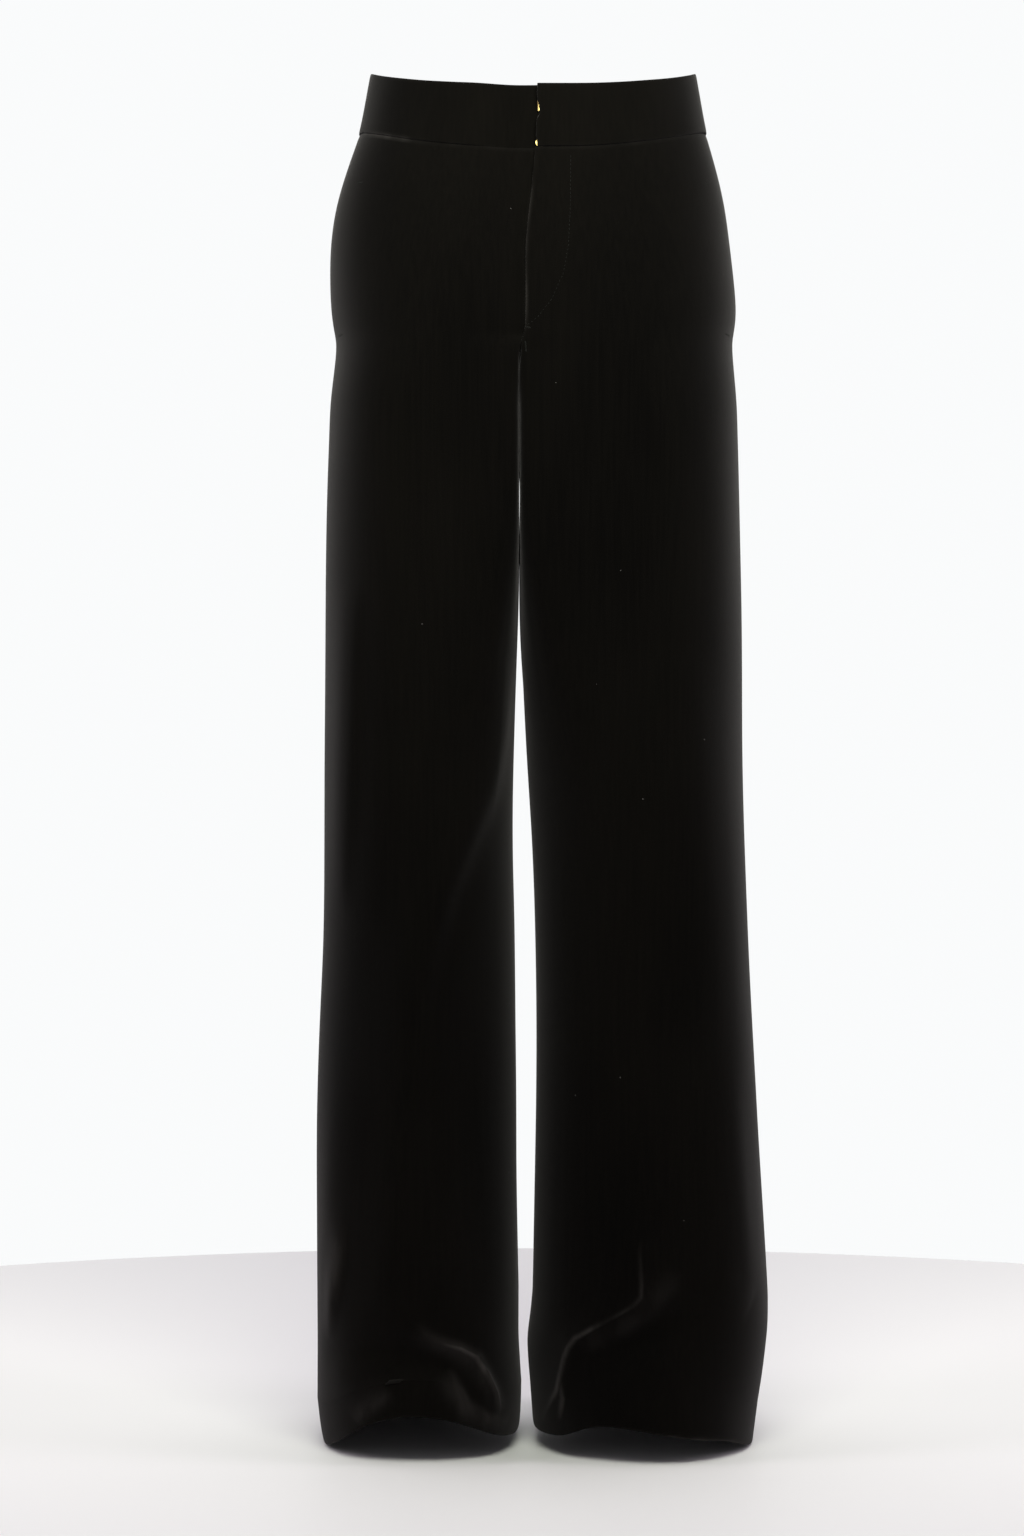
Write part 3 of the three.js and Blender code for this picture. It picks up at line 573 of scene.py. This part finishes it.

# %% [markdown]
# ## Seam edges and unevenness
# A seam pulls the cloth in: within a few millimetres of its edge a panel rolls inwards, which
# draws the fine dark groove between two panels. Along that rolled edge a paler colour is painted
# in, in uneven patches, as a sheen highlight. Away from the seams, cloth is never dead flat,
# so a slow noise moves it by a fraction of a millimetre.

# %% Roll the edges, unsettle the cloth
SEAM_REACH = 4 * MM
SEAM_DEPTH = 0.35 * MM
SEAM_PAINTED_SHEEN = (0.05, 0.6)  # how much paler colour is painted on every seam edge as a sheen highlight, and how much more in the patches


def rim_distances(mesh, wanted):
    """How far each point is from the sheet's rim, counting only the rim points that are wanted."""
    bm = bmesh.new()
    bm.from_mesh(mesh)
    rim = [v.co.copy() for v in bm.verts if v.is_boundary and wanted(v)]
    tree = kdtree.KDTree(len(rim))
    for i, place in enumerate(rim):
        tree.insert(place, i)
    tree.balance()
    distances = np.array([tree.find(v.co)[2] for v in bm.verts])
    bm.free()
    return distances


def roll_edges(mesh):
    """Rolls the rim inwards, and returns how much sheen highlight is painted on it."""
    closeness = np.clip(1 - rim_distances(mesh, lambda v: True) / SEAM_REACH, 0, 1)
    points, normals = points_and_normals(mesh)
    set_points(mesh, points - normals * (SEAM_DEPTH * closeness**2)[:, None])
    even, uneven = SEAM_PAINTED_SHEEN
    return closeness**3 * (even + uneven * painted_sheen_patches(mesh))


def painted_sheen_patches(mesh):
    """An uneven share from 0 to 1 for the painted sheen highlight, low along the middle of the band's
    seam.
    """
    places = [v.co * 14 for v in mesh.vertices]
    uneven = np.array([max(0.0, noise.noise(place) * 3.2) for place in places]).clip(0, 1)
    points, _ = points_and_normals(mesh)
    at_band = soft_step(-95 * MM, -75 * MM, points[:, 2])
    at_side = soft_step(80 * MM, 110 * MM, abs(points[:, 0]))
    return uneven * (1 - at_band * (1 - at_side))


# the painted sheen highlight is kept on the sheet as a point attribute for the velvet's colour
def keep_painted_sheen(mesh, painted_sheen):
    attribute = mesh.attributes.new("painted_sheen", "FLOAT", "POINT")
    attribute.data.foreach_set("value", np.clip(painted_sheen, 0, 1).astype(np.float32))


def unsettle(mesh, size, height, seed):
    points, normals = points_and_normals(mesh)
    places = [Vector((x / size, y / size + seed, z / (2.2 * size))) for x, y, z in points]
    by = np.array([noise.noise(place) for place in places]) * height
    set_points(mesh, points + normals * by[:, None])


def give_thickness(piece, thickness, edge):
    """Solidify inwards, then soften the cut edges. The inside takes the second material."""
    wall = piece.modifiers.new("cloth thickness", "SOLIDIFY")
    wall.thickness = thickness
    wall.offset = -1
    wall.material_offset = 1
    soften = piece.modifiers.new("soft edges", "BEVEL")
    soften.width = edge
    soften.segments = 2
    soften.limit_method = "ANGLE"
    soften.angle_limit = math.radians(60)


def cloth_area(mesh):
    return sum(face.area for face in mesh.polygons)


print("edge helpers ready")

# %% [markdown]
# ## The four leg panels
# Each panel is one sheet from waistband to hem, joined to its neighbours at the side seam, the
# inside leg seam and the centre seam. The velvet is 1.6 mm thick with its pile.

# %% Leg panels
CLOTH = 1.6 * MM
PANEL_EDGE = 0.45 * MM
PANEL_WAVES = (60 * MM, 1.0 * MM)  # how long and how high the unevenness is
WAVE_SEEDS = {"right": 0.0, "left": 3.7}
panels = {}

for leg in ("right", "left"):
    for side, word in ((FRONT, "front"), (BACK, "back")):
        node = f"{word}_{leg}"
        sheet = smooth_sheet(node, outer_skin(node, LEG_AXES[leg]))
        refine_creases(sheet, leg, side)
        painted_crest_sheen = press_creases(sheet, leg, side)
        unsettle(sheet, *PANEL_WAVES, WAVE_SEEDS[leg])
        # crease crests and seam edges get a paler colour painted in as a sheen highlight
        keep_painted_sheen(sheet, np.maximum(painted_crest_sheen, roll_edges(sheet)))
        piece = new_object("velvet_" + node, sheet, [velvet, backing])
        give_thickness(piece, CLOTH, PANEL_EDGE)
        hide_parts(node)
        panels[node] = piece
        print(node, len(sheet.polygons), "cells,", round(cloth_area(sheet), 3), "m2")

# %% [markdown]
# ## Turned-up hems
# The lowest 36 mm of each panel is turned up inside the leg and caught with blind stitches. It
# shows its pile side to the inside, so it is a sheet of its own, copied from the end of the
# panel, moved in by the cloth's thickness and given its own wall. Moved in behind a sharp crease
# it would fold over itself, so it is smoothed before its top is trimmed.

# %% Hems
HEM_DEPTH = 36 * MM
HEM_GAP = 0.35 * MM
HEM_SMOOTHING = 12  # passes
HEM_EDGE = 0.4 * MM
HEM_HIGHEST = -0.99  # every point of the bottom edge is below this height
hems = {}


def at_hem(vert):
    """Rim points along the bottom edge: both rim edges beside them run mostly sideways."""
    rim = [e for e in vert.link_edges if e.is_boundary]
    runs = [e.verts[0].co - e.verts[1].co for e in rim]
    return vert.co.z < HEM_HIGHEST and all(abs(run.z) < 0.8 * run.length for run in runs)


def hem_sheet(mesh):
    far = rim_distances(mesh, at_hem)
    bm = bmesh.new()
    bm.from_mesh(mesh)
    above = [f for f in bm.faces if min(far[v.index] for v in f.verts) > HEM_DEPTH]
    for vert in bm.verts:
        vert.co -= vert.normal * (CLOTH + HEM_GAP)
    inner = [v for v in bm.verts if not v.is_boundary]
    for _ in range(HEM_SMOOTHING):
        bmesh.ops.smooth_vert(
            bm, verts=inner, factor=0.5, use_axis_x=True, use_axis_y=True, use_axis_z=True,
        )
    bmesh.ops.delete(bm, geom=above, context="FACES")
    return bm


for node in ("front_right", "front_left", "back_right", "back_left"):
    piece = new_object("hem_" + node, hem_sheet(panels[node].data), [backing, velvet])
    give_thickness(piece, CLOTH, HEM_EDGE)
    hems[node] = piece
    print(piece.name, len(piece.data.polygons), "cells")

# %% [markdown]
# ## The waistband
# Two layers of velvet with stiffening between them, turned over at the top edge, so it is
# thicker and its edges are rounder than a panel's. The three pieces meet at the side seams, and
# the left front end laps over the right.

# %% Waistband
BAND = 3.0 * MM
BAND_EDGE = 0.7 * MM
BAND_WAVES = (34 * MM, 0.7 * MM)
UNDERLAP_START, UNDERLAP_END = -60 * MM, -15 * MM
UNDERLAP_DROP = 1.2 * MM


def close_under_fly(mesh):
    """Behind the fly the right band's lower edge drops a little behind the panel, so no light passes."""
    points, _ = points_and_normals(mesh)
    low = -rim_distances(mesh, lambda v: v.normal.y < 0 and v.co.z < -0.035)
    share = soft_step(UNDERLAP_START, UNDERLAP_END, points[:, 0]) * soft_step(-8 * MM, 0, low)
    points[:, 2] -= UNDERLAP_DROP * share
    set_points(mesh, points)


# Where the lapped end bows back: the height, and by how much.
BOWS = [(-23 * MM, 2.4 * MM), (-51 * MM, 1.6 * MM)]
BOW_SPREAD = 6 * MM  # up and down
BOW_START, BOW_END = 13 * MM, 3 * MM  # the bow grows between these places, sideways


def bow_back(mesh, height, by):
    """The pull of a fastener bows the lapped end back a little, so a sliver of metal shows."""
    points, _ = points_and_normals(mesh)
    near = np.exp(-(((points[:, 2] - height) / BOW_SPREAD) ** 2))
    points[:, 0] += by * (near * soft_step(BOW_START, BOW_END, points[:, 0]))
    set_points(mesh, points)


BAND_CUT = {
    "waistband_front_right": (0.23, 0.05),
    "waistband_front_left": (0.2, 0.05),
    "waistband_back": (0.4, 0.05),
}
for node in BAND_CUT:
    sheet = smooth_sheet(node, outer_skin(node, (0, 0)))
    if node == "waistband_front_right":
        close_under_fly(sheet)
    if node == "waistband_front_left":
        for height, by in BOWS:
            bow_back(sheet, height, by)
    unsettle(sheet, *BAND_WAVES, len(node) * 1.0)
    # the band's seam edges get a paler colour painted in as a sheen highlight
    keep_painted_sheen(sheet, roll_edges(sheet))
    piece = new_object("velvet_" + node, sheet, [velvet, velvet])
    give_thickness(piece, BAND, BAND_EDGE)
    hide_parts(node)
    panels[node] = piece
    print(node, len(sheet.polygons), "cells,", round(cloth_area(sheet), 4), "m2")

# %% [markdown]
# Every piece rides on the garment's one body.

# %% Ride
for piece in [*panels.values(), *hems.values()]:
    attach(piece, "root")
for leg in ("right", "left"):
    for side, word in ((FRONT, "front"), (BACK, "back")):
        node = f"{word}_{leg}"
print("declared", len(panels), "sheets")

# %% [markdown]
# ## Carried-over pieces
# The small pieces already have their true shape in the frame, and only need a finish.

# %% Finish the carried-over nodes
def finish_node(node, material):
    shown = nodes[node]
    shown.data.materials.clear()
    shown.data.materials.append(material)


finish_node("fly_facing", backing)
for node in ("zip_tape_right", "zip_tape_left"):
    finish_node(node, zip_tape)
for node in ("zip_slider", "waist_hook", "waist_bar"):
    finish_node(node, brass)
for node in ("pocket_bag_right", "pocket_bag_left"):
    finish_node(node, pocketing)

# %% [markdown]
# ## Stitches
# Most stitches sink into the pile. What shows is the curved row that holds the fly facing and
# the dense bar tacks at the foot of the fly and at both ends of each pocket mouth. A stitch is
# a small flattened ball stretched along its thread. Each row is drawn as a line on the front;
# a ray finds the cloth behind each stitch, so that it lies half sunk in the pile.

# %% Stitches
STITCH = 2.5 * MM
STITCH_PITCH = 3.2 * MM
THREAD = 0.34 * MM
TACK_STITCH = 1.7 * MM
TACK_PITCH = 0.45 * MM
TACK_TURN = math.radians(80)
ROW_SINKS = 0.1 * MM
SINK_START, SINK_END = -0.105, -0.135  # the heights between which the fly row starts to sink
FLY_ROW = [(28, -58), (27.5, -100), (26, -130), (22, -152), (13, -172), (2, -186), (-7, -193)]
FLY_TACK = [(-10, -192), (-3, -194)]
FLY_LOW_TACK = [(-7, -204), (-6.4, -212)]
# Pocket tacks: how far out each starts and ends, and its height. The same on both sides.
POCKET_TACKS = [(134, 138, -72), (150, 154, -190)]


def along_row(row, pitch):
    """Places and directions every pitch along a row drawn in millimetres."""
    corners = np.array(row, dtype=float) * MM
    spans = np.linalg.norm(np.diff(corners, axis=0), axis=1)
    run = np.concatenate([[0], np.cumsum(spans)])
    places = np.arange(pitch / 2, run[-1], pitch)
    x = np.interp(places, run, corners[:, 0])
    z = np.interp(places, run, corners[:, 1])
    spots = np.searchsorted(run, places) - 1
    turns = np.diff(corners, axis=0)[np.clip(spots, 0, len(spans) - 1)]
    return list(zip(x, z, np.arctan2(turns[:, 1], turns[:, 0])))


def add_stitch(bm, place, normal, turn, length):
    """One stitch lying on the cloth. turn is its angle in the front plane."""
    along = Vector((math.cos(turn), 0, math.sin(turn)))
    along = (along - normal * along.dot(normal)).normalized()
    frame_of_stitch = Matrix((along, normal.cross(along), normal)).transposed().to_4x4()
    size = Matrix.Diagonal((length / 2, THREAD / 2, THREAD / 2, 1))
    bmesh.ops.create_uvsphere(bm, u_segments=8, v_segments=5, radius=1,
                              matrix=Matrix.Translation(place) @ frame_of_stitch @ size)


def sew(name, cloth, rows, tacks):
    """Rows of long stitches and tacks of short crossing ones, on the front of a cloth piece."""
    tree = BVHTree.FromPolygons(*as_polygons(cloth))
    bm = bmesh.new()
    for row in rows:
        for x, z, turn in along_row(row, STITCH_PITCH):
            place, normal, _, _ = tree.ray_cast(Vector((x, -0.5, z)), Vector((0, 1, 0)))
            sunk = ROW_SINKS * soft_step(SINK_START, SINK_END, np.array(z))
            add_stitch(bm, place - normal * sunk, normal, turn, STITCH)
    for tack in tacks:
        for x, z, turn in along_row(tack, TACK_PITCH):
            place, normal, _, _ = tree.ray_cast(Vector((x, -0.5, z)), Vector((0, 1, 0)))
            if place is not None:
                add_stitch(bm, place, normal, turn + TACK_TURN, TACK_STITCH)
    made = new_object(name, bm, [thread])
    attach(made, "root")
    print(name, len(made.data.polygons), "faces")


def as_polygons(shown):
    mesh = evaluated(shown)
    return [v.co.copy() for v in mesh.vertices], [tuple(p.vertices) for p in mesh.polygons]


sew("fly_stitches", panels["front_left"], [FLY_ROW], [FLY_TACK, FLY_LOW_TACK])
for leg, sign in (("right", -1), ("left", 1)):
    ends = [[(sign * start, z), (sign * end, z)] for start, end, z in POCKET_TACKS]
    sew(f"pocket_tacks_{leg}", panels["front_" + leg], [], ends)

# %% [markdown]
# ## Zip teeth
# The teeth sit on the facing edges of the two tapes and mesh between them, so they alternate
# from side to side. They are small brass blocks, one every millimetre and a half.

# %% Zip teeth
TOOTH_PITCH = 1.5 * MM
TOOTH = (2.4 * MM, 1.5 * MM, 0.8 * MM)
TOOTH_SHIFT = 0.6 * MM  # teeth sit this far to the right and left of the middle, in turn
TOOTH_EDGE = 0.15 * MM
BARE_BELOW, BARE_ABOVE = 2 * MM, 6 * MM  # tape without teeth at both ends
LEVEL_REACH = 0.6 * MM


def tape_edge(node, side):
    """The tape's inner edge as places at rising heights: its furthest points towards one side."""
    points, _ = points_and_normals(nodes[node].data)
    levels = np.unique(points[:, 2].round(3))
    rows = [points[abs(points[:, 2] - level) < LEVEL_REACH] for level in levels]
    return levels, [row[np.argmax(row[:, 0] * side)] for row in rows]


def zip_teeth():
    right_levels, right_edge = tape_edge("zip_tape_right", 1)
    left_levels, left_edge = tape_edge("zip_tape_left", -1)
    low = max(right_levels[0], left_levels[0]) + BARE_BELOW
    high = min(right_levels[-1], left_levels[-1]) - BARE_ABOVE
    bm = bmesh.new()
    for count, height in enumerate(np.arange(low, high, TOOTH_PITCH / 2)):
        edges = [
            Vector([np.interp(height, levels, [p[k] for p in edge]) for k in range(3)])
            for levels, edge in ((right_levels, right_edge), (left_levels, left_edge))
        ]
        place = edges[0].lerp(edges[1], 0.5)
        place.x += TOOTH_SHIFT if count % 2 else -TOOTH_SHIFT
        place.z = height
        size = Matrix.Diagonal((*TOOTH, 1))
        bmesh.ops.create_cube(bm, size=1, matrix=Matrix.Translation(place) @ size)
    made = new_object("zip_teeth", bm, [brass])
    soften = made.modifiers.new("soft edges", "BEVEL")
    soften.width = TOOTH_EDGE
    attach(made, "root")
    print("zip teeth", len(made.data.polygons) // 6)


zip_teeth()

# %% [markdown]
# ## Stage and light
# A round pale floor in a white room: the light wraps round the garment, so the pile lights up
# along both sides while the front stays nearly black. The front box is aimed at the waist and
# its beam is kept narrow, so the velvet darkens gently towards the hems.

# %% Floor, room and lights
FLOOR = frame_low.z - 1 * MM
FLOOR_RADIUS = 1.35
FLOOR_MIDDLE = (0, -0.35)
FLOOR_COLOUR = (0.868, 0.834, 0.864, 1)
ROOM_COLOUR = (0.985, 0.995, 1.0, 1)
FRONT_OF_ROOM = 0.25
BACK_OF_ROOM = 0.97


def make_floor():
    bm = bmesh.new()
    bmesh.ops.create_circle(bm, cap_ends=True, segments=160, radius=FLOOR_RADIUS)
    bmesh.ops.translate(bm, verts=bm.verts, vec=(*FLOOR_MIDDLE, FLOOR))
    floor_material, shader = new_material("pale_floor", Roughness=0.55, Specular_IOR_Level=0.2)
    shader.inputs["Base Color"].default_value = FLOOR_COLOUR
    floor = new_object("floor", bm, [floor_material])


def soft_box(name, place, towards, size, power, colour, spread):
    """A rectangular lamp. size is in metres, power in watts and spread, its beam, in degrees."""
    lamp = bpy.data.lights.new(name, "AREA")
    lamp.shape = "RECTANGLE"
    lamp.size, lamp.size_y = size
    lamp.energy = power
    lamp.color = colour
    lamp.spread = math.radians(spread)
    made = bpy.data.objects.new(name, lamp)
    made.location = place
    made.rotation_euler = (Vector(towards) - Vector(place)).to_track_quat("-Z", "Y").to_euler()
    bpy.context.scene.collection.objects.link(made)


def make_room():
    """White all round, but brightest behind the garment, where the white wall is lit."""
    room = bpy.data.worlds.new("white_room")
    room.use_nodes = True
    tree = room.node_tree
    place = tree.nodes.new("ShaderNodeTexCoord")
    parts = tree.nodes.new("ShaderNodeSeparateXYZ")
    tree.links.new(place.outputs["Generated"], parts.inputs["Vector"])
    share = tree.nodes.new("ShaderNodeMapRange")
    share.interpolation_type = "SMOOTHSTEP"
    share.inputs["From Min"].default_value = -0.35
    share.inputs["From Max"].default_value = 0.45
    share.inputs["To Min"].default_value = FRONT_OF_ROOM
    share.inputs["To Max"].default_value = BACK_OF_ROOM
    tree.links.new(parts.outputs["Y"], share.inputs["Value"])
    background = tree.nodes["Background"]
    background.inputs["Color"].default_value = ROOM_COLOUR
    tree.links.new(share.outputs["Result"], background.inputs["Strength"])
    bpy.context.scene.world = room


make_floor()
make_room()
soft_box("right_softbox", (2.0, -0.5, 0.5), (0, 0, -0.3), (0.7, 1.6), 13, (1, 0.92, 1), 180)
soft_box("left_softbox", (-2.0, -0.6, 0.7), (0, 0, -0.25), (0.7, 1.4), 12, (1, 0.92, 1), 180)
soft_box("front_softbox", (0.1, -1.2, 0.6), (0, 0, 0.05), (1.1, 0.6), 14, (0.93, 1, 0.84), 100)
print("floor at", round(FLOOR, 4))
